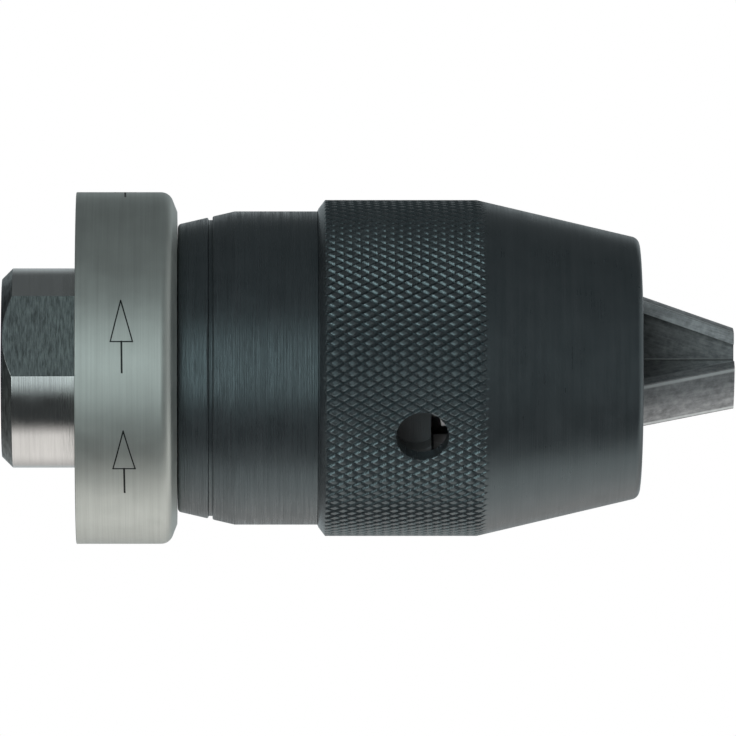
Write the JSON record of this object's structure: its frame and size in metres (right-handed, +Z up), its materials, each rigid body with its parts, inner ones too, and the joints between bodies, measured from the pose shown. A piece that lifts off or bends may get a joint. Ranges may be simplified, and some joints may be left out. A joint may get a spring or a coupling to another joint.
{
  "type": "drill chuck",
  "caption": "Keyless self-tightening drill chuck with a threaded hub, a steel holding ring, a knurled sleeve with a conical nose and jaws that slide in inclined T-slots.",
  "frame": {"origin": "centre of the hub's rear face, on the chuck axis, at the mouth of the spindle thread", "axes": "+X along the chuck axis from the hub to the jaws, +Z up"},
  "size_m": [0.0935, 0.045, 0.045],
  "materials": {
    "bright_steel": "turned bright steel with milled flats",
    "brushed_steel": "fine turned satin steel",
    "black_steel": "black oxide steel, satin, with turning marks",
    "guide_steel": "dark hardened steel",
    "jaw_steel": "ground and mottled hardened steel",
    "bearing_steel": "ground bearing steel",
    "ball_steel": "polished bearing steel",
    "cage_brass": "stamped brass"
  },
  "bodies": {
    "chuck_body": {"body": "bright_steel", "holding_ring": "brushed_steel", "race_front": "bearing_steel"},
    "sleeve": {"closing_ring": "black_steel", "snap_ring": "bearing_steel", "rear_sleeve": "black_steel", "race_rear": "bearing_steel", "front_sleeve": "black_steel", "jaw_guide": "guide_steel"},
    "cage": {"ball_cage": "cage_brass", "ball_1": "ball_steel", "ball_2": "ball_steel", "ball_3": "ball_steel", "ball_4": "ball_steel", "ball_5": "ball_steel", "ball_6": "ball_steel", "ball_7": "ball_steel", "ball_8": "ball_steel", "ball_9": "ball_steel", "ball_10": "ball_steel", "ball_11": "ball_steel", "ball_12": "ball_steel"},
    "feed": {"feed_screw": "guide_steel"},
    "jaw_1": {"jaw_1": "jaw_steel"},
    "jaw_2": {"jaw_2": "jaw_steel"},
    "jaw_3": {"jaw_3": "jaw_steel"}
  },
  "joints": [
    {"name": "sleeve_spin", "type": "hinge", "parent": "chuck_body", "child": "sleeve", "pos_m": [0.05, 0, 0], "axis": [1, 0, 0], "range_deg": [0, 2063]},
    {"name": "cage_spin", "type": "hinge", "parent": "chuck_body", "child": "cage", "pos_m": [0.035, 0, 0], "axis": [1, 0, 0], "range_deg": [0, 1033]},
    {"name": "feed_screw_slide", "type": "slide", "parent": "sleeve", "child": "feed", "axis": [-1, 0, 0], "range_m": [0, 0.01434]},
    {"name": "jaw_1_slide", "type": "slide", "parent": "sleeve", "child": "jaw_1", "axis": [-0.9442, -0.0195, 0.3289], "range_m": [0, 0.0152]},
    {"name": "jaw_2_slide", "type": "slide", "parent": "sleeve", "child": "jaw_2", "axis": [-0.9442, -0.2751, -0.1814], "range_m": [0, 0.0152]},
    {"name": "jaw_3_slide", "type": "slide", "parent": "sleeve", "child": "jaw_3", "axis": [-0.9442, 0.2946, -0.1475], "range_m": [0, 0.0152]}
  ],
  "couplings": [
    {"joint": "cage_spin", "follows": "sleeve_spin", "ratio": 0.5},
    {"joint": "feed_screw_slide", "follows": "sleeve_spin", "m_per_rad": 0.00039789},
    {"joint": "jaw_1_slide", "follows": "sleeve_spin", "m_per_rad": 0.00042142},
    {"joint": "jaw_2_slide", "follows": "sleeve_spin", "m_per_rad": 0.00042142},
    {"joint": "jaw_3_slide", "follows": "sleeve_spin", "m_per_rad": 0.00042142}
  ]
}
